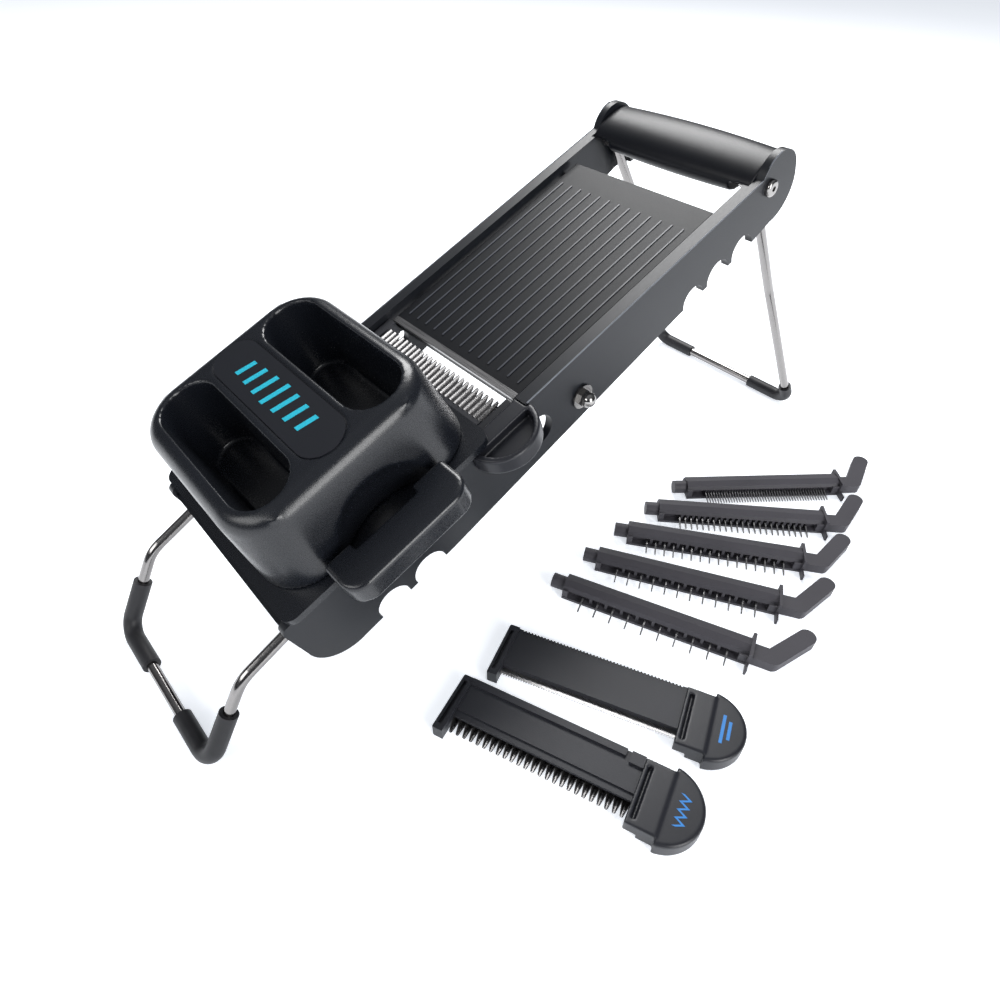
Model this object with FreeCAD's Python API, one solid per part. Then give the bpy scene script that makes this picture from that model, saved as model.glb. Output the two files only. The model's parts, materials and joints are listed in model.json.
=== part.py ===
"""Mandoline slicer with its five julienne combs and two spare blade cassettes.

The slicer is drawn in the bed frame: x to the right, y along the bed from the low front end to the
handle, z square to the bed, with z = 0 on top of the side rails. place_on_table() then tilts it so that
both wire legs stand on the table. Every length is in millimetres and every angle in degrees.
"""
import math
import os

import FreeCAD
import Part

V = FreeCAD.Vector

# ---- driving dimensions -------------------------------------------------------------------------
HALF_WIDTH = 65.0        # outer face of the side frames
WEB = 5.0                # side frame wall
RAIL_WIDTH = 8.0         # flange on top of each side frame
RAIL_DEPTH = 5.0
TILT = 21.8              # bed slope when the slicer stands on its legs
LEG_LINE = 81.2          # height of the bed frame's origin above the table
BED_TOP = -4.0           # top of the receiving plate and of the ramp
BED_THICK = 5.0
PLATE_END = 121.5        # where the receiving plate meets the blade cassette
CASSETTE_START, CASSETTE_END = 122.5, 158.0
RAMP_START, RAMP_END = 163.0, 322.0
RAMP_HALF = 53.5
HINGE_Y, HINGE_Z = 316.0, -11.0          # ramp hinge rod
CAM_Y, CAM_Z = 193.5, -28.4              # thickness cam shaft
CAM_RADIUS, CAM_DROP, CAM_TURN = 11.6, 6.1, 270.0
COMB_SOCKET = (161.0, -25.0)             # where a julienne comb is pushed in from the right
REAR_PIVOT = (358.0, -8.0)
REAR_BEND, REAR_CORNER, REAR_SPREAD = (384.0, -110.0), (403.8, -244.0), 70.0
FRONT_PIVOT = (6.0, -15.5)
FRONT_BEND, FRONT_CORNER = (-33.3, -19.1), (-76.8, -51.8)
ARM_X = 54.6             # leg arms run just inside the side frames
FRONT_WIRE, REAR_WIRE, SLEEVE = 3.0, 3.3, 5.0      # radii
RUN_GAP = 0.05           # radial clearance of a turning fit
SLIDE_GAP = 0.4          # clearance of a sliding fit
GUARD_Y = (8.5, 131.0)   # base of the hand guard
GUARD_BASE, GUARD_TOP = 5.0, 52.0
WELL_FLOOR, WELL_UNDER = 8.8, 6.6         # inside and underside of the finger wells
RING_HALF, WING_HALF = 68.0, 91.0        # half widths over the carriage ring and over its wings
WELL_Y, WELL_HALF_LENGTH, WELL_HALF_WIDTH = (38.5, 103.5), 50.0, 15.5
BADGE_Y, BADGE_HALF_LENGTH, BADGE_HALF_WIDTH = 71.0, 52.0, 13.2
POST_X, POST_Y, POST_R = 54.2, (33.5, 106.5), 1.75
SCOOP_RADIUS, SCOOP_FLOOR_X = 44.0, 52.5  # finger recesses in the guard's sides
GUARD_FILLET = 9.0
SCREW_R, SHAFT_R, HINGE_ROD_R = 2.5, 3.0, 2.0
HANDLE_Y, HANDLE_Z = 363.5, -4.0         # middle of the carrying bar
BLADE_HALF = 50.0        # half of a blade's cutting width
WAVE_COUNT = 25          # corrugations of the waffle blade
SERRATION_COUNT = 66     # points of the slicing blade
SHOE_TOP, NECK_TOP = -3.4, -0.4          # tops of a cassette's end shoe and of its neck
CASSETTE_UNDER, DECK_UNDER, SEAT_FLOOR = -12.0, -10.6, -7.05
NECK_START, NECK_TO_SHOE = 57.0, 113.4   # inner end of the neck, and from there to the shoe's far edge
PULL_RADIUS, PULL_REACH, PULL_UNDER = 21.0, 19.0, -11.4
COMB_LENGTH = 117.0
COMB_PITCHES = (2, 4, 6, 8, 10)
TANG_R, TANG_BORE_R, COMB_OPENING_R = 4.7, 4.9, 9.6
LEVER_ANGLE, LEVER_HALF, LEVER_REACH, LEVER_THICK = 55.0, 5.4, 29.0, 6.8

SHAPES = {}


# ---- small shape helpers ------------------------------------------------------------------------
def box(x, y, z):
    """A block from three (low, high) pairs."""
    return Part.makeBox(x[1] - x[0], y[1] - y[0], z[1] - z[0], V(x[0], y[0], z[0]))


def rod_x(x, y, z, r):
    """A cylinder along x from x[0] to x[1]."""
    return Part.makeCylinder(r, x[1] - x[0], V(x[0], y, z), V(1, 0, 0))


def rod_z(x, y, z, r):
    """A cylinder along z from z[0] to z[1]."""
    return Part.makeCylinder(r, z[1] - z[0], V(x, y, z[0]), V(0, 0, 1))


def fuse(first, *others):
    """One solid from several, without the seams between faces that lie in one plane."""
    return first.multiFuse(list(others)).removeSplitter()


def cut(body, *tools):
    """The body with all the tools taken away at once."""
    return body.cut(Part.makeCompound(list(tools)))


def both_sides(make):
    """The solid that make(side) gives on the right (+1) and on the left (-1)."""
    return [make(1), make(-1)]


def span(side, near, far):
    """The (low, high) range of x between two distances from the middle, on one side."""
    return sorted((side * near, side * far))


def mirror(shape):
    """The same shape on the other side of the middle."""
    return shape.mirror(V(0, 0, 0), V(1, 0, 0))


def prism_x(points, x):
    """A polygon of (y, z) points pushed along x."""
    face = Part.Face(Part.makePolygon([V(x[0], y, z) for y, z in [*points, points[0]]]))
    return face.extrude(V(x[1] - x[0], 0, 0))


def prism_y(points, y):
    """A polygon of (x, z) points pushed along y."""
    face = Part.Face(Part.makePolygon([V(px, y[0], pz) for px, pz in [*points, points[0]]]))
    return face.extrude(V(0, y[1] - y[0], 0))


def prism_z(points, z):
    """A polygon of (x, y) points pushed along z."""
    face = Part.Face(Part.makePolygon([V(px, py, z[0]) for px, py in [*points, points[0]]]))
    return face.extrude(V(0, 0, z[1] - z[0]))


def round_rect_wire(x, y, z, r):
    """A rectangle with round corners in the plane at height z."""
    s = r * (1 - math.sqrt(0.5))
    (x0, x1), (y0, y1) = x, y
    sides = [(V(x0 + r, y0, z), V(x1 - r, y0, z)), (V(x1, y0 + r, z), V(x1, y1 - r, z)),
             (V(x1 - r, y1, z), V(x0 + r, y1, z)), (V(x0, y1 - r, z), V(x0, y0 + r, z))]
    mids = [V(x1 - s, y0 + s, z), V(x1 - s, y1 - s, z), V(x0 + s, y1 - s, z), V(x0 + s, y0 + s, z)]
    edges = []
    for i, (a, b) in enumerate(sides):
        if (b - a).Length > 1e-6:
            edges.append(Part.makeLine(a, b))
        edges.append(Part.Arc(b, mids[i], sides[(i + 1) % 4][0]).toShape())
    return Part.Wire(edges)


def hex_x(x, y, z, r):
    """A hexagonal bar along x with corner radius r."""
    corners = [math.radians(60 * k) for k in range(6)]
    return prism_x([(y + r * math.cos(a), z + r * math.sin(a)) for a in corners], x)


def round_block(x, y, z, r):
    """A block with round upright corners."""
    return Part.Face(round_rect_wire(x, y, z[0], r)).extrude(V(0, 0, z[1] - z[0]))


def tapered_block(low, high):
    """A ruled solid between two (x, y, z, corner radius) rounded rectangles."""
    return Part.makeLoft([round_rect_wire(*low), round_rect_wire(*high)], True, True)


def bent_rod(points, r, bend):
    """A round rod along straight runs joined by arcs of radius bend (a list gives one per corner)."""
    pts = [V(*p) for p in points]
    bends = bend if isinstance(bend, (list, tuple)) else [bend] * (len(pts) - 2)
    edges, start = [], pts[0]
    for before, corner, after, radius in zip(pts[:-2], pts[1:-1], pts[2:], bends):
        a, b = (before - corner).normalize(), (after - corner).normalize()
        half = a.getAngle(b) / 2
        reach = radius / math.tan(half)
        centre = corner + (a + b).normalize() * (radius / math.sin(half))
        first, last = corner + a * reach, corner + b * reach
        middle = centre + (corner - centre).normalize() * radius
        edges.append(Part.makeLine(start, first))
        edges.append(Part.Arc(first, middle, last).toShape())
        start = last
    edges.append(Part.makeLine(start, pts[-1]))
    path = Part.Wire(edges)
    section = Part.Wire(Part.makeCircle(r, pts[0], pts[1] - pts[0]))
    return path.makePipeShell([section], True, True)


def fillet_where(shape, r, test):
    """Rounds the edges whose centre of mass passes the test."""
    edges = [e for e in shape.Edges if test(e.CenterOfMass)]
    return shape.makeFillet(r, edges) if edges else shape


# ---- side frames, receiving plate, blade bed, handle -----------------------------------------------
def frame_outline(x):
    """One side frame seen from the side: straight top, round ear at the handle, sloping belly."""
    p = [V(x, 1.4, 0), V(x, 351.6, 0), V(x, 367, 8), V(x, 383.3, -11), V(x, 377.5, -27.5),
         V(x, 361, -33.3), V(x, 344, -35.8), V(x, 273, -38.2), V(x, 88, -49.3), V(x, 22, -50.6),
         V(x, 3.4, -43.8), V(x, -2.6, -26), V(x, -2.6, -4), V(x, -1.4, -1.2)]
    edges = [Part.makeLine(p[0], p[1])]
    edges += [Part.Arc(p[i], p[i + 1], p[i + 2]).toShape() for i in (1, 3)]
    edges += [Part.makeLine(p[i], p[i + 1]) for i in (5, 6, 7, 8)]
    edges.append(Part.Arc(p[9], p[10], p[11]).toShape())
    edges.append(Part.makeLine(p[11], p[12]))
    edges.append(Part.Arc(p[12], p[13], p[0]).toShape())
    return Part.Wire(edges)


# round notches that hook onto the rim of a bowl: (y, z, radius)
BOWL_NOTCHES = [(44.5, -47.5, 10.4), (70.5, -48.0, 10.6),
                (289.0, -37.2, 9.0), (311.6, -36.4, 9.8), (334.4, -34.8, 9.6)]


def side_frame(side):
    """A moulded side wall with a rail flange, bowl notches along its lower edge, and pivot holes."""
    inner, outer = HALF_WIDTH - WEB, HALF_WIDTH
    wall = Part.Face(frame_outline(inner)).extrude(V(WEB, 0, 0))
    flange = box((HALF_WIDTH - RAIL_WIDTH, inner + 0.5), (1.4, 344), (-RAIL_DEPTH, 0))
    frame = fuse(wall, flange)
    through = (inner - 1, outer + 1)
    tools = [rod_x(through, y, z, r) for y, z, r in BOWL_NOTCHES]
    tools += [rod_x(through, *REAR_PIVOT, SCREW_R),
              rod_x((inner - 1, outer - 1.2), *FRONT_PIVOT, FRONT_WIRE + RUN_GAP),
              rod_x(through, CAM_Y, CAM_Z, SHAFT_R + RUN_GAP),
              rod_x((inner - 1, outer - 1.5), HINGE_Y, HINGE_Z, HINGE_ROD_R)]
    if side > 0:      # the cassette's neck lies in an open notch in the right rail, the comb passes below
        notch_y = (CASSETTE_START - 0.6, CASSETTE_END + 0.6)
        tools.append(box((HALF_WIDTH - RAIL_WIDTH - 1, outer + 1), notch_y, (CASSETTE_UNDER - 1.2, 1)))
        tools.append(rod_x(through, *COMB_SOCKET, COMB_OPENING_R))
    else:
        tools.append(rod_x(through, *COMB_SOCKET, TANG_BORE_R))
    frame = cut(frame, *tools)
    return frame if side > 0 else mirror(frame)


def receiving_plate():
    """The fixed plate at the low end, with a turned-down front lip."""
    inner, rail = HALF_WIDTH - WEB, HALF_WIDTH - RAIL_WIDTH
    plate = box((-inner, inner), (-1.5, PLATE_END), (BED_TOP - BED_THICK, -RAIL_DEPTH))
    skin = box((-rail, rail), (-1.5, PLATE_END), (-RAIL_DEPTH, BED_TOP))
    lip = box((-50, 50), (-1.5, 2.5), (-14, BED_TOP - BED_THICK))
    return fuse(plate, skin, lip)


def blade_bed():
    """A cross member with two side ledges that carry the blade cassette."""
    inner = HALF_WIDTH - WEB
    cross = box((-inner, inner), (110, 121), (-20, BED_TOP - BED_THICK))
    shelf = box((-inner, inner), (121, 128), (-20, -12.4))
    ledges = both_sides(lambda s: box(span(s, 50.5, inner), (128, 156.5), (-15.2, -12.4)))
    return fuse(cross, shelf, *ledges)


def handle():
    """A barrel-shaped carrying bar; pockets under its ends leave room for the rear leg's eyes."""
    inner = HALF_WIDTH - WEB
    steps = 8
    sections = []
    for i in range(steps + 1):
        share = 2 * i / steps - 1
        swell = 1 - share * share
        middle = V(share * inner, HANDLE_Y, HANDLE_Z)
        long_end = middle + V(0, 18.0 + 1.8 * swell, 0)
        short_end = middle + V(0, 0, 8.5 + 1.5 * swell)
        sections.append(Part.Wire(Part.Ellipse(long_end, short_end, middle).toShape()))
    bar = Part.makeLoft(sections, True, True)
    pockets = both_sides(lambda s: box(span(s, 46, inner + 1), (340, 366.5), (-30, -1.9)))
    return cut(bar, *pockets)


def rear_pivot_screws():
    """Button-head screws through the side frames and the rear leg's eyes."""
    def screw(s):
        shank = rod_x((47.5, HALF_WIDTH), *REAR_PIVOT, SCREW_R)
        head = fillet_where(rod_x((HALF_WIDTH, HALF_WIDTH + 3), *REAR_PIVOT, 5.0), 1.6,
                            lambda c: c.x > HALF_WIDTH + 2.9)
        socket = hex_x((HALF_WIDTH + 1.4, HALF_WIDTH + 4), *REAR_PIVOT, 1.7)
        whole = fuse(shank, head).cut(socket)
        return whole if s > 0 else mirror(whole)
    return both_sides(screw)


def rear_pivot_nuts():
    """Nuts on the screws, inside the rear leg's eyes."""
    def nut(s):
        whole = cut(hex_x((46.8, 50.7), *REAR_PIVOT, 4.6), rod_x((46, 51.5), *REAR_PIVOT, SCREW_R))
        return whole if s > 0 else mirror(whole)
    return both_sides(nut)


def rear_leg_stops():
    """Blocks on the side frames that the opened rear leg leans on."""
    return both_sides(lambda s: box(span(s, 51.0, HALF_WIDTH - WEB), (368.2, 374), (-31, -19)))


# ---- ramp and its thickness adjustment ----------------------------------------------------------
RIB_PITCH, RIB_COUNT = 8.0, 13


def ramp_plate():
    """The feed ramp: hinged at the handle end, ribbed along its length, resting on two cams."""
    top, bottom = BED_TOP, BED_TOP - BED_THICK
    plate = box((-RAMP_HALF, RAMP_HALF), (RAMP_START, RAMP_END), (bottom, top))
    toe = box((-RAMP_HALF, RAMP_HALF), (RAMP_START - 4, RAMP_START), (bottom, top - 1.7))
    cam_clear = CAM_Z + CAM_RADIUS + 0.4      # the followers' feet stay just clear of the cams
    flanges = both_sides(lambda s: box(span(s, RAMP_HALF - 2, RAMP_HALF), (182, 310), (bottom - 5, bottom)))
    followers = both_sides(lambda s: box(span(s, 38.5, 41.5), (184, 203), (cam_clear, bottom)))

    def boss(s):
        barrel = rod_x(span(s, 34, 48), HINGE_Y, HINGE_Z, 5.0)
        stem = box(span(s, 34, 48), (HINGE_Y - 5, HINGE_Y + 5), (HINGE_Z, bottom))
        return fuse(barrel, stem)

    ribs = []
    for i in range(RIB_COUNT):
        x = (i - (RIB_COUNT - 1) / 2) * RIB_PITCH
        ribs.append(box((x - 0.45, x + 0.45), (168, 303), (top - 0.5, top + 0.45)))
    whole = fuse(plate, toe, *flanges, *followers, *both_sides(boss), *ribs)
    return whole.cut(rod_x((-60, 60), HINGE_Y, HINGE_Z, HINGE_ROD_R + RUN_GAP))


def ramp_strip():
    """The bright steel strip that finishes the ramp's lower edge."""
    return box((-RAMP_HALF, RAMP_HALF), (RAMP_START - 4, RAMP_START), (BED_TOP - 1.7, BED_TOP + 0.1))


def hinge_rod():
    """The pin that the ramp tilts on, fixed in both side frames."""
    return rod_x((-63.5, 63.5), HINGE_Y, HINGE_Z, HINGE_ROD_R)


def thickness_cams():
    """Two snail cams: the radius falls evenly through the turn, so the ramp sinks in step with the knob."""
    steps = 45

    def rim_point(angle, radius):
        return CAM_Y + radius * math.cos(math.radians(angle)), CAM_Z + radius * math.sin(math.radians(angle))

    rim = [rim_point(90 + CAM_TURN * k / steps, CAM_RADIUS - CAM_DROP * k / steps) for k in range(steps + 1)]
    flank = [rim_point(angle, CAM_RADIUS) for angle in (66, 78)]

    def cam(s):
        disc = prism_x([*rim, *flank], span(s, 37.5, 42.5))
        return disc.cut(rod_x((-60, 60), CAM_Y, CAM_Z, SHAFT_R))

    return both_sides(cam)


def cam_shaft():
    """The shaft that carries both cams, through both side frames."""
    return rod_x((-67.5, HALF_WIDTH + 6.5), CAM_Y, CAM_Z, SHAFT_R)


def thickness_knob():
    """The fluted adjusting knob on the left end of the cam shaft."""
    knob = rod_x((-78, -65.6), CAM_Y, CAM_Z, 12.0)
    knob = fillet_where(knob, 2.0, lambda c: c.x < -77.9)
    flutes = [rod_x((-80, -67.5), CAM_Y + 13.2 * math.cos(a), CAM_Z + 13.2 * math.sin(a), 2.1)
              for a in (math.radians(30 * k) for k in range(12))]
    return cut(knob, *flutes, rod_x((-67.5, -60), CAM_Y, CAM_Z, SHAFT_R))


def cam_shaft_washer():
    """A flat washer between the right side frame and the cap nut."""
    disc = rod_x((HALF_WIDTH + 0.3, HALF_WIDTH + 1.7), CAM_Y, CAM_Z, 7.2)
    return disc.cut(rod_x((60, 80), CAM_Y, CAM_Z, SHAFT_R))


def cam_shaft_nut():
    """A domed cap nut on the right end of the cam shaft."""
    start = HALF_WIDTH + 1.7
    skirt = hex_x((start, start + 3.6), CAM_Y, CAM_Z, 5.2)
    outer_half = box((start + 3.4, start + 9), (CAM_Y - 12, CAM_Y + 12), (CAM_Z - 12, CAM_Z + 12))
    dome = Part.makeSphere(4.3, V(start + 3.6, CAM_Y, CAM_Z)).common(outer_half)
    return fuse(skirt, dome).cut(rod_x((60, HALF_WIDTH + 6.5), CAM_Y, CAM_Z, SHAFT_R))


# ---- legs ---------------------------------------------------------------------------------------
def leg_path(pivot, bend, corner, spread, turned_end):
    """Half of a leg's route, from its pivot on the right side to the middle of its foot bar."""
    start = [(HALF_WIDTH - 2.0, *pivot)] if turned_end else []
    return [*start, (ARM_X, *pivot), (ARM_X, *bend), (spread, *corner)]


def front_leg_wire():
    """A bent wire whose turned-out ends pivot in the side frames."""
    half = leg_path(FRONT_PIVOT, FRONT_BEND, FRONT_CORNER, ARM_X, True)
    path = half + [(-x, y, z) for x, y, z in reversed(half)]
    return bent_rod(path, FRONT_WIRE, [4.0, 22.0, 11.0, 11.0, 22.0, 4.0])


def rear_leg_wire():
    """The taller leg: straight inside the frames, then splayed outwards to a wide foot bar."""
    half = leg_path(REAR_PIVOT, REAR_BEND, REAR_CORNER, REAR_SPREAD, False)
    path = half + [(-x, y, z) for x, y, z in reversed(half)]
    wire = bent_rod(path, REAR_WIRE, [30.0, 11.0, 11.0, 30.0])
    eyes = both_sides(lambda s: rod_x(span(s, 51.2, 59.3), *REAR_PIVOT, 5.6))
    return fuse(wire, *eyes).cut(rod_x((-70, 70), *REAR_PIVOT, SCREW_R + RUN_GAP))


def foot_sleeve(arm_top, corner, r_wire, up, along, side):
    """A rubber sleeve over one elbow of a leg, from up the arm to along the foot bar."""
    corner_v, top_v = V(*corner), V(*arm_top)
    start = corner_v + (top_v - corner_v).normalize() * up
    end = corner_v - V(along, 0, 0)
    points = [tuple(start), tuple(corner_v), tuple(end)]
    sleeve = bent_rod(points, SLEEVE, 11.0)
    core = bent_rod(points, r_wire, 11.0)
    sleeve = sleeve.cut(core)
    return sleeve if side > 0 else mirror(sleeve)


def front_leg_sleeves():
    """The two sleeves of the front leg."""
    top, corner = (ARM_X, *FRONT_BEND), (ARM_X, *FRONT_CORNER)
    return both_sides(lambda s: foot_sleeve(top, corner, FRONT_WIRE, 34.0, 34.0, s))


def rear_leg_sleeves():
    """The two sleeves of the rear leg."""
    top, corner = (ARM_X, *REAR_BEND), (REAR_SPREAD, *REAR_CORNER)
    return both_sides(lambda s: foot_sleeve(top, corner, REAR_WIRE, 19.0, 38.0, s))


# ---- blade cassettes ----------------------------------------------------------------------------
def waffle_blade():
    """A corrugated steel blade with its edge ground towards the ramp."""
    pitch = 2 * BLADE_HALF / WAVE_COUNT
    high, low, thick = -3.5, -6.5, 0.55
    line = []
    for i in range(WAVE_COUNT):
        x = -BLADE_HALF + i * pitch
        line += [(x, low), (x + pitch * 0.42, high), (x + pitch * 0.58, high)]
    line.append((BLADE_HALF, low))
    sheet = prism_y([*line, *[(x, z - thick) for x, z in reversed(line)]], (138.5, 153.0))
    grind = prism_x([(144.0, -8.2), (154.0, -8.2), (154.0, -4.1)], (-60, 60))
    return sheet.cut(grind)


def slicing_blade():
    """A flat steel blade with fine serrations along its edge."""
    pitch = 2 * BLADE_HALF / SERRATION_COUNT
    edge = []
    for i in range(SERRATION_COUNT):
        x = BLADE_HALF - i * pitch
        edge += [(x, 152.0), (x - pitch / 2, 153.4)]
    points = [(-BLADE_HALF, 140.0), (BLADE_HALF, 140.0), *edge, (-BLADE_HALF, 152.0)]
    return prism_z(points, (-7.05, -6.25))


def cassette_deck(kind):
    """The flat carrier between the end shoe and the grip, with a seat for the blade."""
    start, across = CASSETTE_START, (-BLADE_HALF, BLADE_HALF)
    if kind == "waffle":      # a stiffening rail below the back edge, and a thin lip under the blade
        deck = box(across, (start, 142.5), (DECK_UNDER, BED_TOP))
        seat = box(across, (138.5, 142.5), (SEAT_FLOOR, BED_TOP + 1))
        lip = box(across, (142.5, 146.0), (-9.4, -7.6))
        long_rail = box((-BLADE_HALF, 40), (start, start + 4), (-12.4, DECK_UNDER))
        short_rail = box((42.5, BLADE_HALF), (start, start + 6.5), (-12.4, DECK_UNDER))
        return fuse(cut(deck, seat), lip, long_rail, short_rail)
    deck = box(across, (start, 149.0), (DECK_UNDER, BED_TOP))
    seat = box(across, (140.0, 149.0), (SEAT_FLOOR, BED_TOP + 1))
    grooves = [box((x - 0.5, x + 0.5), (start - 1, start + 2.2), (-11, -9.6)) for x in range(-47, 48, 2)]
    return cut(deck, seat, *grooves)


def cassette_shoe():
    """The guide shoe at the cassette's inner end, with a groove along its underside."""
    far = NECK_START - NECK_TO_SHOE
    shoe = box((far, -BLADE_HALF), (CASSETTE_START, CASSETTE_END), (CASSETTE_UNDER, SHOE_TOP))
    shoe = fillet_where(shoe, 1.2, lambda c: c.x < far + 0.1)
    return shoe.cut(box((-54.6, -52.4), (CASSETTE_START + 3.5, CASSETTE_END - 3.5), (-13, -9.5)))


def cassette_grip():
    """The neck that lies in the right rail's notch and the dished D-shaped pull outside it."""
    middle = (CASSETTE_START + CASSETTE_END) / 2
    along, start = (CASSETTE_START, CASSETTE_END), HALF_WIDTH + 0.6
    root = box((BLADE_HALF, NECK_START), along, (CASSETTE_UNDER, BED_TOP))
    neck = box((NECK_START, start), along, (CASSETTE_UNDER, NECK_TOP))

    def d_shape(x, half, reach, z):
        """A D lying flat: a straight edge at x and an arc that bulges to reach."""
        near, far = V(x, middle - half, z[0]), V(x, middle + half, z[0])
        arc = Part.Arc(near, V(start + reach, middle, z[0]), far).toShape()
        return Part.Face(Part.Wire([arc, Part.makeLine(far, near)])).extrude(V(0, 0, z[1] - z[0]))

    pull = d_shape(start, PULL_RADIUS, PULL_REACH, (PULL_UNDER, NECK_TOP))
    pull = pull.makeFillet(1.6, [e for e in pull.Edges if e.CenterOfMass.x > start + 9 and e.Length > 30])
    cup = d_shape(start + 1.0, PULL_RADIUS - 4, PULL_REACH - 2.6, (-6, 2))
    groove = box((52.2, 54.4), (CASSETTE_START + 3.5, CASSETTE_END - 3.5), (-13, -9.5))
    return cut(fuse(root, neck, pull), groove, cup)


def cassette(kind):
    """The four pieces of a waffle or slicing cassette, in its fitted place."""
    blade = waffle_blade() if kind == "waffle" else slicing_blade()
    return {"deck": cassette_deck(kind), "shoe": cassette_shoe(), "grip": cassette_grip(), "blade": blade}


# ---- hand guard and its carriage ----------------------------------------------------------------
def carriage_frame():
    """The ring that slides on the rails; its lips run just inside them."""
    ring = round_block((-RING_HALF, RING_HALF), (2, 133), (SLIDE_GAP, 4.6), 7)
    opening = round_block((-51.5, 51.5), (14, 125), (-5, 6), 4)
    lip_outer = HALF_WIDTH - RAIL_WIDTH - SLIDE_GAP
    lips = both_sides(lambda s: box(span(s, 54.8, lip_outer), (6, 130), (-2.9, 0.6)))
    return cut(fuse(ring, *lips), opening)


def carriage_wing(side):
    """A hollow thumb rest beside the guard; its inner edge steps back along the finger recess."""
    x, y, wall = (RING_HALF, WING_HALF), (32.0, 105.0), 3.0
    outside = box((x[0], 95), (0, 140), (-5, 30))
    shell = round_block((x[0] - 12, x[1]), y, (SLIDE_GAP, 18.0), 11).common(outside)
    shell = fillet_where(shell, 2.4, lambda c: c.z > 17.9 and c.x > x[0] + 1)
    hollow = round_block((x[0] - 12, x[1] - wall), (y[0] + wall, y[1] - wall), (-3, 15.0), 8)
    hollow = hollow.common(box((x[0] + 7.5, 95), (0, 140), (-5, 30)))
    skirt_cut = box((x[0] + 7.49, 95), (0, 140), (-5, 4.6))
    step = box((x[0] - 1, x[0] + 4.5), (48, 86), (7, 30))
    wing = cut(shell, hollow, skirt_cut, step)
    return wing if side > 0 else mirror(wing)


def guide_posts():
    """Four steel posts that the guard slides down on."""
    return [rod_z(s * POST_X, y, (4.6, 44.0), POST_R) for s in (1, -1) for y in POST_Y]


def well(y, grow, z):
    """A finger well's stadium shape, narrowing a little towards its floor."""
    def ring(height, narrow):
        r = WELL_HALF_WIDTH + grow - narrow
        length = WELL_HALF_LENGTH + grow - narrow
        return round_rect_wire((-length, length), (y - r, y + r), height, r)
    return Part.makeLoft([ring(z[0], 2.5), ring(z[1], 0)], True, True)


def side_scoop(grow):
    """The shallow finger recess in the guard's right side: a cap of a large ball."""
    return Part.makeSphere(SCOOP_RADIUS + grow, V(SCOOP_FLOOR_X + SCOOP_RADIUS, BADGE_Y, 8.0))


def guard_dome():
    """The hollow hand guard: two deep finger wells, a badge recess and a finger scoop on each side."""
    y0, y1 = GUARD_Y
    low, high = GUARD_BASE, GUARD_TOP
    outer = tapered_block(((-63.5, 63.5), (y0, y1), low, 26), ((-58.5, 58.5), (y0 + 5, y1 - 5), high, 26))
    outer = fillet_where(outer, GUARD_FILLET, lambda c: c.z > high - 0.1)
    inner = tapered_block(((-61, 61), (y0 + 2.5, y1 - 2.5), low - 1, 21.5),
                          ((-55.7, 55.7), (y0 + 7.8, y1 - 7.8), high - 3.2, 25))
    scoops = [side_scoop(0), mirror(side_scoop(0))]
    scoop_backs = [side_scoop(2.5), mirror(side_scoop(2.5))]
    cavity = cut(inner, *scoop_backs)
    shell = cut(outer, cavity, *scoops)
    tubs = [well(y, 2.4, (WELL_UNDER, high)).common(outer) for y in WELL_Y]
    bosses = [rod_z(s * POST_X, y, (7.0, high - 2.5), 3.5) for s in (1, -1) for y in POST_Y]
    for piece in [*tubs, *bosses]:
        shell = shell.fuse(piece)
    tools = [well(y, 0, (WELL_FLOOR, high + 0.5)) for y in WELL_Y]
    tools += [rod_z(s * POST_X, y, (0, 46.0), POST_R + 0.1) for s in (1, -1) for y in POST_Y]
    badge_y = (BADGE_Y - BADGE_HALF_WIDTH, BADGE_Y + BADGE_HALF_WIDTH)
    badge_x = (-BADGE_HALF_LENGTH, BADGE_HALF_LENGTH)
    tools.append(round_block(badge_x, badge_y, (high - 1.0, high + 2), BADGE_HALF_WIDTH))
    drains = [(30 + 5 * k, 36 + 5 * m) for k in range(3) for m in range(2)]
    tools += [box((x - 1.1, x + 1.1), (y - 1.1, y + 1.1), (5, 15)) for x, y in drains]
    for tool in tools:
        shell = shell.cut(tool)
    return shell


def guard_badge():
    """A plain inlay between the wells."""
    reach, half = BADGE_HALF_LENGTH - 0.3, BADGE_HALF_WIDTH - 0.3
    across = (BADGE_Y - half, BADGE_Y + half)
    return round_block((-reach, reach), across, (GUARD_TOP - 1.0, GUARD_TOP + 0.2), half)


def pusher_plate():
    """The food pusher under the guard: a plate on four columns, with short holding pins."""
    plate = round_block((-48.5, 48.5), (17, 122), (1.2, 4.2), 4)
    columns = [rod_z(x, y, (4.0, WELL_UNDER), 4.0) for x in (-22, 16) for y in WELL_Y]
    pins = []
    for i in range(7):
        for j in range(7):
            tip = V(-42 + 14 * i, 24.5 + 15 * j, -2.4)
            pins.append(Part.makeCone(0.4, 1.3, 3.8, tip, V(0, 0, 1)))
    return fuse(plate, *columns, *pins)


# ---- julienne combs -----------------------------------------------------------------------------
def comb_tooth_places(pitch):
    """Where the teeth stand along a comb: a centred row that fills its cutting width."""
    count = int(90 // pitch) + 1
    first = COMB_LENGTH / 2 - pitch * (count - 1) / 2
    return [first + pitch * k for k in range(count)]


# section across a comb's bar: a faceted back, and the toothed recess along its front
COMB_SECTION = [(-7.5, 0), (7.2, 0), (7.6, 1.0), (7.6, 6.2), (5.2, 10.4), (-0.6, 11.4),
                (-4.8, 9.6), (-6.0, 6.9), (-3.2, 6.6), (-3.2, 2.4), (-7.5, 1.8)]


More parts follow.
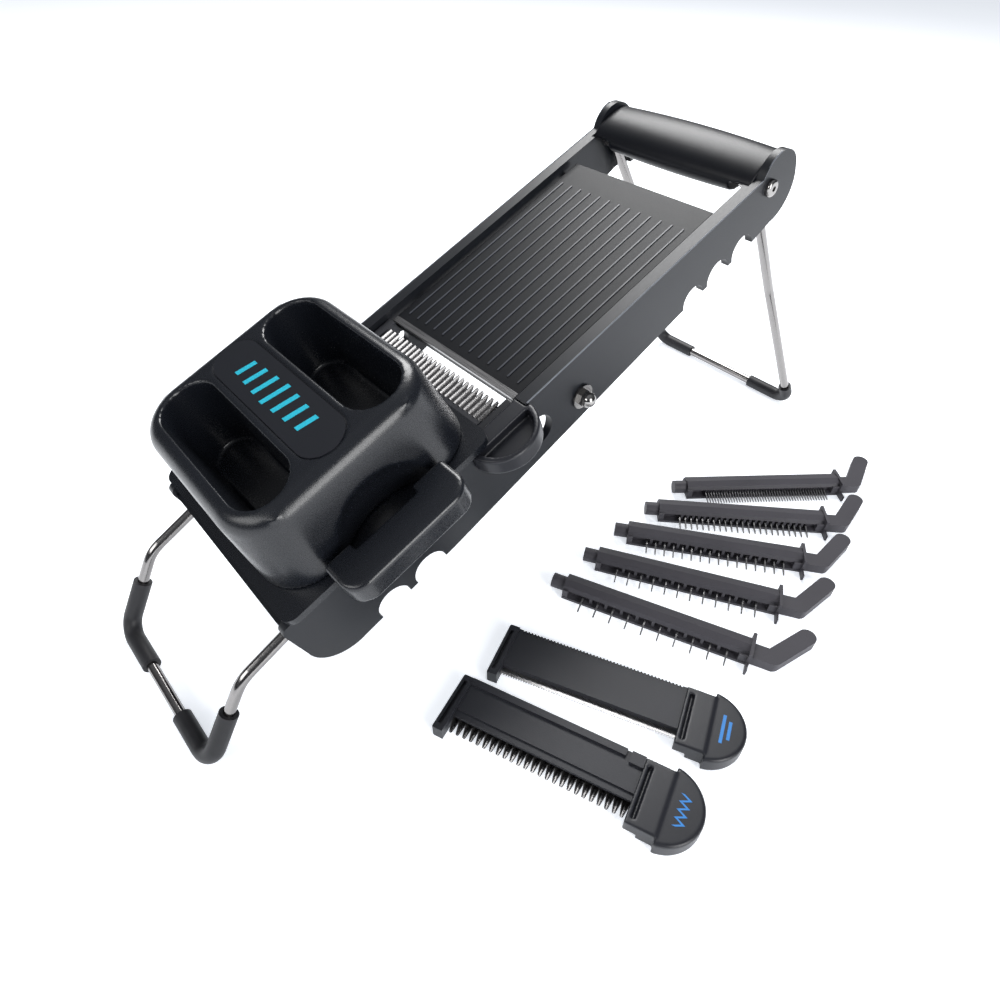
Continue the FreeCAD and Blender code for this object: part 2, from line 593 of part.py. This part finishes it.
def comb_holder(pitch):
    """The comb's carrier: a faceted bar with a toothed recess, a tang, a finned end flange and a lever."""
    bar = prism_x(COMB_SECTION, (0, COMB_LENGTH))
    ends = [box(x, (-7.2, 0), (0.5, 7.6)) for x in ((0, 3.5), (COMB_LENGTH - 7, COMB_LENGTH))]
    half_web = min(0.9, pitch * 0.22)
    middles = [x + pitch / 2 for x in comb_tooth_places(pitch)[:-1]]
    webs = [box((x - half_web, x + half_web), (-5.6, -3.0), (2.0, 7.0)) for x in middles]
    tang = rod_x((-9, 0.5), 0.5, 5.0, TANG_R)
    flange = box((COMB_LENGTH - 2.0, COMB_LENGTH), (-8.6, 8.6), (0, 11.8))
    fin = box((COMB_LENGTH - 2.0, COMB_LENGTH - 0.6), (-14.5, -8.0), (0, 4.5))
    neck = box((COMB_LENGTH - 0.5, COMB_LENGTH + 13), (-6.2, 4.6), (0.6, 7.4))
    angle = math.radians(LEVER_ANGLE)
    along = V(math.cos(angle), math.sin(angle), 0)
    across = V(-math.sin(angle), math.cos(angle), 0) * LEVER_HALF
    heel = V(COMB_LENGTH + 11.5, -0.8, 0.6)
    tip = heel + along * LEVER_REACH
    outline = Part.makePolygon([heel + across, heel - across, tip - across, tip + across, heel + across])
    lever = Part.Face(outline).extrude(V(0, 0, LEVER_THICK))
    ends_round = [Part.makeCylinder(LEVER_HALF, LEVER_THICK, point) for point in (heel, tip)]
    return fuse(bar, *ends, *webs, tang, flange, fin, neck, lever, *ends_round)


def comb_teeth(pitch):
    """Separate steel teeth set into the back of the holder's recess."""
    half = 0.3 if pitch == 2 else 0.42
    profile = [(-3.2, 2.5), (-3.2, 6.0), (-9.0, 5.0), (-15.6, 3.0), (-15.6, 2.5)]
    return [prism_x(profile, (x - half, x + half)) for x in comb_tooth_places(pitch)]


# ---- where everything stands --------------------------------------------------------------------
# (x, y, turn) of each loose piece on the table, from the slicer's own origin
TABLE_COMBS = {2: (119, 349, 52), 4: (127, 309, 44), 6: (132, 270, 37),
               8: (138, 231, 31), 10: (144, 192, 24)}
TABLE_CASSETTES = {"slicing": (158, 130, 25), "waffle": (167, 83, 21)}


def place_on_table(shape):
    """From the bed frame to the row frame: tilt about x, then lift to the height of the legs."""
    placed = shape.copy()
    placed.rotate(V(0, 0, 0), V(1, 0, 0), TILT)
    placed.translate(V(0, 0, LEG_LINE))
    return placed


def lay(shape, centre, turn, x, y):
    """Turns a loose piece about its own centre and moves it to its place on the table."""
    laid = shape.copy()
    laid.translate(V(-centre[0], -centre[1], 0))
    laid.rotate(V(0, 0, 0), V(0, 0, 1), turn)
    laid.translate(V(x, y, 0))
    return laid


def lean_over(shape):
    """Turns a cassette upside down; it then leans on the edge of its neck and on its end shoe."""
    leaning = shape.copy()
    leaning.rotate(V(0, 0, 0), V(1, 0, 0), 180)
    lean = math.degrees(math.asin((NECK_TOP - SHOE_TOP) / NECK_TO_SHOE))
    leaning.rotate(V(NECK_START, 0, -NECK_TOP), V(0, 1, 0), -lean)
    leaning.translate(V(0, 0, NECK_TOP))
    return leaning


def add(name, shape):
    """Keeps a finished node; a list of solids becomes one grouped node."""
    SHAPES[name] = Part.makeCompound(shape) if isinstance(shape, list) else shape


def trimmed_feet(shapes):
    """Flattens the sleeves where they stand on the table."""
    table = box((-200, 200), (-400, 800), (-60, 0))
    return [s.cut(table) for s in shapes]


def build_slicer():
    """Every piece of the machine itself, with the waffle cassette fitted."""
    machine = {
        "left_side_frame": side_frame(-1), "right_side_frame": side_frame(1),
        "receiving_plate": receiving_plate(), "blade_bed": blade_bed(), "handle": handle(),
        "ramp_hinge_rod": hinge_rod(), "rear_pivot_screws": rear_pivot_screws(),
        "rear_pivot_nuts": rear_pivot_nuts(), "rear_leg_stops": rear_leg_stops(),
        "ramp_plate": ramp_plate(), "ramp_edge_strip": ramp_strip(),
        "thickness_cams": thickness_cams(), "cam_shaft": cam_shaft(), "thickness_knob": thickness_knob(),
        "cam_shaft_washer": cam_shaft_washer(), "cam_shaft_cap_nut": cam_shaft_nut(),
        "front_leg_wire": front_leg_wire(), "rear_leg_wire": rear_leg_wire(),
        "carriage_frame": carriage_frame(), "right_wing": carriage_wing(1), "left_wing": carriage_wing(-1),
        "guide_posts": guide_posts(), "guard_dome": guard_dome(), "guard_badge": guard_badge(),
        "pusher_plate": pusher_plate(),
    }
    for piece, shape in cassette("waffle").items():
        machine[f"fitted_cassette_{piece}"] = shape
    for name, shape in machine.items():
        parts = shape if isinstance(shape, list) else [shape]
        placed = [place_on_table(s) for s in parts]
        add(name, placed if len(placed) > 1 else placed[0])
    legs = {"front_leg_sleeves": front_leg_sleeves(), "rear_leg_sleeves": rear_leg_sleeves()}
    for name, sleeves in legs.items():
        add(name, trimmed_feet([place_on_table(s) for s in sleeves]))


def build_loose_pieces():
    """The five combs and the two spare cassettes on the table."""
    for pitch in COMB_PITCHES:
        x, y, turn = TABLE_COMBS[pitch]
        centre = (COMB_LENGTH / 2, 0)
        add(f"comb_{pitch}mm_holder", lay(comb_holder(pitch), centre, turn, x, y))
        add(f"comb_{pitch}mm_teeth", [lay(tooth, centre, turn, x, y) for tooth in comb_teeth(pitch)])
    for kind, (x, y, turn) in TABLE_CASSETTES.items():
        for piece, shape in cassette(kind).items():
            centre = (8.0, -(CASSETTE_START + CASSETTE_END) / 2)
            add(f"{kind}_cassette_{piece}", lay(lean_over(shape), centre, turn, x, y))


def centre_row():
    """Moves every node so that the origin is under the middle of the whole row, on the table."""
    whole = FreeCAD.BoundBox()
    for shape in SHAPES.values():
        whole.add(shape.optimalBoundingBox())
    shift = V(-whole.Center.x, -whole.Center.y, -whole.ZMin)
    for name in SHAPES:
        SHAPES[name].translate(shift)
    return shift


build_slicer()
build_loose_pieces()
ROW_SHIFT = centre_row()
os.makedirs("parts", exist_ok=True)
for node, shape in SHAPES.items():
    shape.exportStep(f"parts/{node}.step")
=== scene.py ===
"""Looks for the mandoline slicer: moulded charcoal plastic, chromed wire legs, ground steel blades.

Positions on the slicer are given in the bed frame (x right, y towards the handle, z square to the bed,
millimetres) and turned into the row frame by bed(); loose pieces take theirs from the CAD boxes.
"""
import json
import math

import bmesh
import bpy
from mathutils import Matrix, Vector

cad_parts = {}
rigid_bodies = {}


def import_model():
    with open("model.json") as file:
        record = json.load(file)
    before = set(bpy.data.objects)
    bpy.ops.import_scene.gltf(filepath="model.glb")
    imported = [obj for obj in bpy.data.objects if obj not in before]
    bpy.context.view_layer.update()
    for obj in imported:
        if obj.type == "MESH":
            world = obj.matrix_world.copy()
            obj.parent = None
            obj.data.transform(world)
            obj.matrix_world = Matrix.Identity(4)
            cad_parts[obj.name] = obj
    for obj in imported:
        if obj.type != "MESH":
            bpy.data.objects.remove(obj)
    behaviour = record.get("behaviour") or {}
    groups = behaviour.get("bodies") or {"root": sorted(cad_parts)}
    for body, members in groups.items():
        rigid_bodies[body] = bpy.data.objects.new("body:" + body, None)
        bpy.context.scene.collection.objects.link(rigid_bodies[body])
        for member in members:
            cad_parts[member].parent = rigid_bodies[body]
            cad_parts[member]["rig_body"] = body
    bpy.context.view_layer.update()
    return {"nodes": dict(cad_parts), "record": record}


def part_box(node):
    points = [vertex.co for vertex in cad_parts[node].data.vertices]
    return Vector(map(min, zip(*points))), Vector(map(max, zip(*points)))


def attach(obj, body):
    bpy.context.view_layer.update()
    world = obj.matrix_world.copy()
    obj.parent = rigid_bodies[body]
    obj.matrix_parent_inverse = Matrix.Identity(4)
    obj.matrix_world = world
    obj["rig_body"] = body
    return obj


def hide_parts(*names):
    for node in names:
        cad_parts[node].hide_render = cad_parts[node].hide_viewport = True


MM = 0.001
TILT = math.radians(21.8)
LEG_LINE = 81.2          # height of the bed frame's origin above the table
HALF_WIDTH = 65.0
HINGE_Y, HINGE_Z = 316.0, -11.0
GUARD_TOP = 52.0
BADGE_Y = 71.0
RIB_TOP = -3.9           # ribs on the ramp stand above this height
TABLE_CASSETTES = {"slicing": (158, 130, 25), "waffle": (167, 83, 21)}
CASSETTE_MID, CASSETTE_CENTRE_X = 140.25, 8.0
NECK_START, NECK_TO_SHOE, NECK_TOP, SHOE_TOP = 57.0, 113.4, -0.4, -3.4
PULL_UNDER = -11.4       # underside of a cassette's pull
MARK_X = 73.5            # middle of the mark on a cassette's pull
MARK_THICK = 0.12        # how far an ink mark stands proud
BADGE_TOP = GUARD_TOP + 0.2
BAR_COUNT, BAR_PITCH = 7, 9.6
EAR_Y, EAR_Z, EAR_R = 366.8, -8.6, 16.8   # the side frames' round ears at the handle
HIGHLIGHT_STRIP_R, HIGHLIGHT_STRIP_INSET = 0.42, 0.35           # painted highlight strip on the rails' outer top edges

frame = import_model()
nodes = frame["nodes"]
cos_t, sin_t = math.cos(TILT), math.sin(TILT)
hinge_low, hinge_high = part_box("ramp_hinge_rod")
hinge_mid = (hinge_low + hinge_high) / 2 / MM
SHIFT = Vector((hinge_mid.x, hinge_mid.y - (HINGE_Y * cos_t - HINGE_Z * sin_t), 0))


def bed_direction(x, y, z):
    """A direction in the bed frame, in the row frame."""
    return Vector((x, y * cos_t - z * sin_t, y * sin_t + z * cos_t))


def bed(x, y, z):
    """A point of the bed frame in millimetres, in the row frame in metres."""
    return (bed_direction(x, y, z) + SHIFT + Vector((0, 0, LEG_LINE))) * MM


# ---- materials ----------------------------------------------------------------------------------
def new_material(name):
    """A material with its node tree and its main shader."""
    mat = bpy.data.materials.new(name)
    mat.use_nodes = True
    tree = mat.node_tree
    return mat, tree, tree.nodes["Principled BSDF"]


def noise(tree, scale, detail=3.0, stretch=None):
    """A noise texture in object space; stretch scales it by axis for brushed grain."""
    coordinates = tree.nodes.new("ShaderNodeTexCoord")
    texture = tree.nodes.new("ShaderNodeTexNoise")
    texture.inputs["Scale"].default_value = scale
    texture.inputs["Detail"].default_value = detail
    source = coordinates.outputs["Object"]
    if stretch:
        mapping = tree.nodes.new("ShaderNodeMapping")
        mapping.inputs["Scale"].default_value = stretch
        tree.links.new(source, mapping.inputs["Vector"])
        source = mapping.outputs["Vector"]
    tree.links.new(source, texture.inputs["Vector"])
    return texture.outputs["Fac"]


def spread(tree, value, low, high):
    """Maps a 0 to 1 value onto low to high."""
    node = tree.nodes.new("ShaderNodeMapRange")
    node.inputs["From Min"].default_value = 0.25
    node.inputs["From Max"].default_value = 0.75
    node.inputs["To Min"].default_value = low
    node.inputs["To Max"].default_value = high
    tree.links.new(value, node.inputs["Value"])
    return node.outputs["Result"]


def tinted(tree, value, dark, light):
    """A colour that drifts between two tones with the value."""
    ramp = tree.nodes.new("ShaderNodeValToRGB")
    ramp.color_ramp.elements[0].position = 0.3
    ramp.color_ramp.elements[1].position = 0.7
    ramp.color_ramp.elements[0].color = (*dark, 1)
    ramp.color_ramp.elements[1].color = (*light, 1)
    tree.links.new(value, ramp.inputs["Fac"])
    return ramp.outputs["Color"]


def bumped(tree, shader, value, strength, distance):
    """Raises the surface slightly where the value is high."""
    bump = tree.nodes.new("ShaderNodeBump")
    bump.inputs["Strength"].default_value = strength
    bump.inputs["Distance"].default_value = distance
    tree.links.new(value, bump.inputs["Height"])
    tree.links.new(bump.outputs["Normal"], shader.inputs["Normal"])


def moulded(name, colour, rough, grain, specular=0.45):
    """Moulded plastic: a fine spark-eroded grain and a faint drift in tone and gloss."""
    mat, tree, shader = new_material(name)
    shader.inputs["Specular IOR Level"].default_value = specular
    slow = noise(tree, 22.0, 2.0)
    dark = [c * 0.9 for c in colour]
    light = [c * 1.12 for c in colour]
    tree.links.new(tinted(tree, slow, dark, light), shader.inputs["Base Color"])
    fine = noise(tree, 1900.0, 2.0)
    tree.links.new(spread(tree, fine, rough - 0.05, rough + 0.07), shader.inputs["Roughness"])
    bumped(tree, shader, fine, grain, 0.00012)
    return mat


def metal(name, colour, rough, stretch, strength=0.12):
    """Metal with a fine directional grain."""
    mat, tree, shader = new_material(name)
    shader.inputs["Metallic"].default_value = 1.0
    grain = noise(tree, 900.0, 2.0, stretch)
    dark = [c * 0.93 for c in colour]
    tree.links.new(tinted(tree, grain, dark, colour), shader.inputs["Base Color"])
    tree.links.new(spread(tree, grain, rough * 0.8, rough * 1.25), shader.inputs["Roughness"])
    bumped(tree, shader, grain, strength, 0.00004)
    return mat


def rubber(name):
    """Matt black rubber with a worn, uneven sheen."""
    mat, tree, shader = new_material(name)
    shader.inputs["Specular IOR Level"].default_value = 0.35
    patch = noise(tree, 60.0, 3.0)
    colour = tinted(tree, patch, (0.010, 0.010, 0.012), (0.019, 0.019, 0.022))
    tree.links.new(colour, shader.inputs["Base Color"])
    tree.links.new(spread(tree, patch, 0.42, 0.58), shader.inputs["Roughness"])
    bumped(tree, shader, noise(tree, 1500.0, 2.0), 0.2, 0.0001)
    return mat


def printed(name, colour):
    """Pad-printed ink."""
    mat, tree, shader = new_material(name)
    drift = noise(tree, 300.0, 2.0)
    tree.links.new(tinted(tree, drift, [c * 0.93 for c in colour], colour), shader.inputs["Base Color"])
    shader.inputs["Roughness"].default_value = 0.4
    return mat


MAT = {
    "frame_plastic": moulded("frame_plastic", (0.0075, 0.0087, 0.0118), 0.36, 0.24, 0.32),
    "ramp_plastic": moulded("ramp_plastic", (0.0034, 0.0042, 0.0062), 0.42, 0.20, 0.16),
    # painted highlight: a lighter grey for the ramp's rib faces, standing in for light caught along the
    # ridges
    "rib_painted_highlight": moulded("rib_painted_highlight", (0.042, 0.046, 0.056), 0.36, 0.10, 0.35),
    # painted highlight: light grey for the strips along the rails' outer top edges
    "rail_highlight_paint": moulded("rail_highlight_paint", (0.13, 0.14, 0.16), 0.30, 0.05),
    "handle_plastic": moulded("handle_plastic", (0.0046, 0.0052, 0.0076), 0.36, 0.12, 0.22),
    "guard_plastic": moulded("guard_plastic", (0.0062, 0.0074, 0.0104), 0.27, 0.20, 0.48),
    "badge_inlay": moulded("badge_inlay", (0.0085, 0.0095, 0.0130), 0.38, 0.15, 0.40),
    "cassette_plastic": moulded("cassette_plastic", (0.018, 0.019, 0.024), 0.46, 0.30, 0.40),
    "grip_plastic": moulded("grip_plastic", (0.0110, 0.0118, 0.0160), 0.36, 0.15, 0.40),
    "comb_plastic": moulded("comb_plastic", (0.046, 0.044, 0.052), 0.52, 0.35, 0.35),
    "blade_steel": metal("blade_steel", (0.30, 0.295, 0.295), 0.28, (0.05, 1, 1)),
    "chrome_wire": metal("chrome_wire", (0.27, 0.26, 0.255), 0.15, (1, 1, 0.03), 0.05),
    "fastener_chrome": metal("fastener_chrome", (0.34, 0.33, 0.32), 0.12, (1, 1, 1), 0.04),
    "foot_rubber": rubber("foot_rubber"),
    "teal_ink": printed("teal_ink", (0.020, 0.42, 0.56)),
    "blue_ink": printed("blue_ink", (0.012, 0.19, 0.55)),
}
SLOT_OF = {s["node"]: s["material_slot"] for s in frame["record"]["subparts"]}


# ---- mesh helpers -------------------------------------------------------------------------------
def add_object(name, mesh):
    """A new object in the scene."""
    obj = bpy.data.objects.new(name, mesh)
    bpy.context.scene.collection.objects.link(obj)
    return obj


def smooth_by_angle(obj, degrees=32.0):
    """Shades smooth, but keeps edges sharper than the angle."""
    obj.data.shade_smooth()
    obj.data.set_sharp_from_angle(angle=math.radians(degrees))


def edge_bevel(obj, width, segments=2, angle=38.0):
    """Softens a moulded part's edges so that they catch the light."""
    bevel = obj.modifiers.new("soft_edges", "BEVEL")
    bevel.width = width * MM
    bevel.segments = segments
    bevel.limit_method = "ANGLE"
    bevel.angle_limit = math.radians(angle)
    bevel.harden_normals = True


def apply_modifiers(obj):
    """Turns an object's modifiers into mesh."""
    graph = bpy.context.evaluated_depsgraph_get()
    graph.update()
    mesh = bpy.data.meshes.new_from_object(obj.evaluated_get(graph))
    obj.modifiers.clear()
    obj.data = mesh


def softened(node, voxel, rounds):
    """A copy of a CAD node with every edge melted to a small radius, as moulded parts have."""
    obj = add_object(f"{node}_moulded", nodes[node].data.copy())
    grid = obj.modifiers.new("grid", "REMESH")
    grid.mode = "VOXEL"
    grid.voxel_size = voxel * MM
    soft = obj.modifiers.new("soft", "SMOOTH")
    soft.factor = 0.5
    soft.iterations = rounds
    apply_modifiers(obj)
    obj.data.materials.clear()
    obj.data.materials.append(MAT[SLOT_OF[node]])
    obj.data.shade_smooth()
    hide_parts(node)
    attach(obj, nodes[node]["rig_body"])
    return obj


def plate(name, outline, to_row, low, high, material, body, bevel=0.0):
    """A flat piece with the given (x, y) outline between two heights, mapped by to_row(x, y, z)."""
    mesh = bpy.data.meshes.new(name)
    bm = bmesh.new()
    bottom = [bm.verts.new(to_row(x, y, low)) for x, y in outline]
    top = [bm.verts.new(to_row(x, y, high)) for x, y in outline]
    bm.faces.new(bottom[::-1])
    bm.faces.new(top)
    for i in range(len(outline)):
        j = (i + 1) % len(outline)
        bm.faces.new((bottom[i], bottom[j], top[j], top[i]))
    bmesh.ops.recalc_face_normals(bm, faces=bm.faces)
    bm.to_mesh(mesh)
    bm.free()
    obj = add_object(name, mesh)
    mesh.materials.append(MAT[material])
    if bevel:
        edge_bevel(obj, bevel)
    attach(obj, body)
    return obj


# ---- materials on the CAD nodes -----------------------------------------------------------------
BEVELS = {"frame_plastic": 0.7, "ramp_plastic": 0.25, "guard_plastic": 0.6, "cassette_plastic": 0.45,
          "comb_plastic": 0.6, "foot_rubber": 0.8, "handle_plastic": 0.8, "grip_plastic": 0.8}

for name, obj in nodes.items():
    slot = SLOT_OF[name]
    obj.data.materials.clear()
    obj.data.materials.append(MAT[slot])
    smooth_by_angle(obj)
    if slot in BEVELS:
        edge_bevel(obj, BEVELS[slot])

ramp = nodes["ramp_plate"].data
# painted highlight: rib faces above RIB_TOP get the lighter rib colour
ramp.materials.append(MAT["rib_painted_highlight"])
rib_line = bed(0, HINGE_Y, RIB_TOP)
normal = bed_direction(0, 0, 1)
for polygon in ramp.polygons:
    if (polygon.center - rib_line).dot(normal) > 0:
        polygon.material_index = 1

# ---- softened plastic mouldings -----------------------------------------------------------------
FINE = 1.0
softened("guard_dome", 0.9 * FINE, 6)
for node in ("left_wing", "right_wing", "handle", "thickness_knob"):
    softened(node, 0.7 * FINE, 5)
for node in ("fitted_cassette_grip", "slicing_cassette_grip", "waffle_cassette_grip"):
    softened(node, 0.6 * FINE, 3)


# ---- printed marks ------------------------------------------------------------------------------
def slanted_bar(x, y, length, width, lean):
    """Corners of a leaning bar with its middle at (x, y)."""
    half, side = length / 2, width / 2
    return [(x - side - lean * half, y - half), (x + side - lean * half, y - half),
            (x + side + lean * half, y + half), (x - side + lean * half, y + half)]


def zigzag_band(x, y, length, depth, width, steps):
    """Outline of a zigzag line that runs along y."""
    spine = []
    for i in range(steps + 1):
        side = depth / 2 if i % 2 else -depth / 2
        spine.append((x + side, y - length / 2 + length * i / steps))
    near = [(px - width / 2, py) for px, py in spine]
    far = [(px + width / 2, py) for px, py in reversed(spine)]
    return near + far


def rectangle(x, y, length, width):
    """Outline of a bar that runs along y."""
    return slanted_bar(x, y, length, width, 0)


for i in range(BAR_COUNT):
    from_middle = i - BAR_COUNT // 2
    shrink = 1.0 - 0.10 * abs(from_middle)
    bar = slanted_bar(from_middle * BAR_PITCH, BADGE_Y, 15.5 * shrink, 3.0, 0.25)
    plate(f"badge_bar_{i}", bar, bed, BADGE_TOP, BADGE_TOP + MARK_THICK, "teal_ink", "hand_guard")


def on_cassette(kind):
    """Maps the cassette's own frame to the row frame where it lies upside down on the table."""
    x0, y0, turn = TABLE_CASSETTES[kind]
    lean = math.asin((NECK_TOP - SHOE_TOP) / NECK_TO_SHOE)
    over = Matrix.Rotation(math.pi, 4, "X")
    to_neck = Matrix.Translation(Vector((-NECK_START, 0, NECK_TOP)))
    leaning = to_neck.inverted() @ Matrix.Rotation(-lean, 4, "Y") @ to_neck
    centred = Matrix.Translation(Vector((-CASSETTE_CENTRE_X, CASSETTE_MID, 0)))
    turned = Matrix.Rotation(math.radians(turn), 4, "Z")
    laid = Matrix.Translation(SHIFT + Vector((x0, y0, NECK_TOP)))
    place = laid @ turned @ centred @ leaning @ over
    return lambda x, y, z: (place @ Vector((x, y, z))) * MM


for kind in TABLE_CASSETTES:
    spot = on_cassette(kind)
    if kind == "waffle":
        marks = [zigzag_band(MARK_X, CASSETTE_MID, 17.0, 4.2, 1.9, 8)]
    else:
        marks = [rectangle(MARK_X - 1.6, CASSETTE_MID, 17.0, 1.7),
                 rectangle(MARK_X + 1.8, CASSETTE_MID, 11.0, 1.7)]
    for i, mark in enumerate(marks):
        low = PULL_UNDER - MARK_THICK
        plate(f"{kind}_mark_{i}", mark, spot, low, PULL_UNDER, "blue_ink", f"{kind}_cassette")


# ---- painted highlight strip along the rails ----------------------------------------------------
def rail_highlight_strip(name, x, start, end, over_ear):
    """A thin strip of light grey plastic on a rail's outer top edge, a painted highlight; at the rear
    it climbs onto the round ear.
    """
    points = [(start, 0.0), (end, 0.0)]
    if over_ear:
        angles = [math.radians(148 - 8 * k) for k in range(9)]
        points += [(EAR_Y + EAR_R * math.cos(a), EAR_Z + EAR_R * math.sin(a)) for a in angles]
    curve = bpy.data.curves.new(name, "CURVE")
    curve.dimensions = "3D"
    curve.bevel_depth = HIGHLIGHT_STRIP_R * MM
    curve.bevel_resolution = 2
    line = curve.splines.new("POLY")
    line.points.add(len(points) - 1)
    for point, (y, z) in zip(line.points, points):
        point.co = (*bed(x, y, z - 0.12), 1)
    highlight_strip = add_object(name, curve)
    # the lighter colour paints the edge highlight
    curve.materials.append(MAT["rail_highlight_paint"])
    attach(highlight_strip, "bed")


highlight_strip_x = HALF_WIDTH - HIGHLIGHT_STRIP_INSET
rail_highlight_strip("left_rail_highlight_strip", -highlight_strip_x, 4.0, 351.0, True)
rail_highlight_strip("right_rail_highlight_strip_front", highlight_strip_x, 4.0, 121.0, False)
rail_highlight_strip("right_rail_highlight_strip_rear", highlight_strip_x, 159.5, 351.0, True)

# ---- stage, light and camera --------------------------------------------------------------------
floor_mesh = bpy.data.meshes.new("floor")
floor_mesh.from_pydata([(-20, -20, 0), (20, -20, 0), (20, 20, 0), (-20, 20, 0)], [], [(0, 1, 2, 3)])
floor = add_object("floor", floor_mesh)
floor_mat, floor_tree, floor_shader = new_material("floor_white")
floor_shader.inputs["Roughness"].default_value = 0.9
floor_shader.inputs["Specular IOR Level"].default_value = 0.1
floor_shader.inputs["Emission Color"].default_value = (0.90, 0.94, 1.0, 1)
floor_shader.inputs["Emission Strength"].default_value = 0.62
floor_tint = noise(floor_tree, 3.0)
floor_colour = tinted(floor_tree, floor_tint, (0.90, 0.91, 0.93), (0.93, 0.94, 0.95))
floor_tree.links.new(floor_colour, floor_shader.inputs["Base Color"])
floor_mesh.materials.append(floor_mat)
floor.location.z = -0.0004


def area_light(name, place, aim, size, power):
    """A white softbox at place that faces aim."""
    data = bpy.data.lights.new(name, "AREA")
    data.shape = "RECTANGLE"
    data.size, data.size_y = size
    data.energy = power
    lamp = bpy.data.objects.new(name, data)
    bpy.context.scene.collection.objects.link(lamp)
    lamp.location = place
    lamp.rotation_mode = "QUATERNION"
    lamp.rotation_quaternion = (Vector(aim) - Vector(place)).to_track_quat("-Z", "Y")


AIM = (-0.05, 0.0, 0.08)
area_light("key", (-0.9, 0.9, 1.5), AIM, (1.0, 1.0), 42)
area_light("right", (1.5, -0.2, 0.7), AIM, (0.7, 1.2), 24)
area_light("front", (-0.2, -1.6, 1.0), AIM, (1.4, 0.6), 12)


def studio_world():
    """A soft ceiling above darker walls for reflections; a plain white backdrop for the camera."""
    world = bpy.data.worlds.new("studio")
    world.use_nodes = True
    tree = world.node_tree
    coordinates = tree.nodes.new("ShaderNodeTexCoord")
    split = tree.nodes.new("ShaderNodeSeparateXYZ")
    ramp = tree.nodes.new("ShaderNodeValToRGB")
    ramp.color_ramp.elements[0].position = 0.0
    ramp.color_ramp.elements[0].color = (0.08, 0.085, 0.095, 1)
    ramp.color_ramp.elements[1].position = 0.95
    ramp.color_ramp.elements[1].color = (0.34, 0.35, 0.37, 1)
    middle = ramp.color_ramp.elements.new(0.45)
    middle.color = (0.10, 0.105, 0.115, 1)
    seen = tree.nodes.new("ShaderNodeLightPath")
    mix = tree.nodes.new("ShaderNodeMix")
    mix.data_type = "RGBA"
    mix.inputs[7].default_value = (1, 1, 1, 1)
    tree.links.new(coordinates.outputs["Generated"], split.inputs["Vector"])
    tree.links.new(split.outputs["Z"], ramp.inputs["Fac"])
    tree.links.new(seen.outputs["Is Camera Ray"], mix.inputs[0])
    tree.links.new(ramp.outputs["Color"], mix.inputs[6])
    tree.links.new(mix.outputs[2], tree.nodes["Background"].inputs["Color"])
    return world


bpy.context.scene.world = studio_world()
bpy.context.scene.view_settings.view_transform = "Standard"

camera_data = bpy.data.cameras.new("camera")
camera_data.sensor_width = 36.0
camera_data.lens = 24.285
camera_data.clip_start = 0.01
camera = bpy.data.objects.new("camera", camera_data)
bpy.context.scene.collection.objects.link(camera)
right = bed_direction(0.66445, 0.70317, -0.25310)
up = bed_direction(-0.52620, 0.68068, 0.50970)
back = bed_direction(0.53069, -0.20548, 0.82228)
turn = Matrix((right, up, back)).transposed().to_4x4()
camera.matrix_world = Matrix.Translation(bed(262.71, 46.54, 259.12)) @ turn
bpy.context.scene.camera = camera
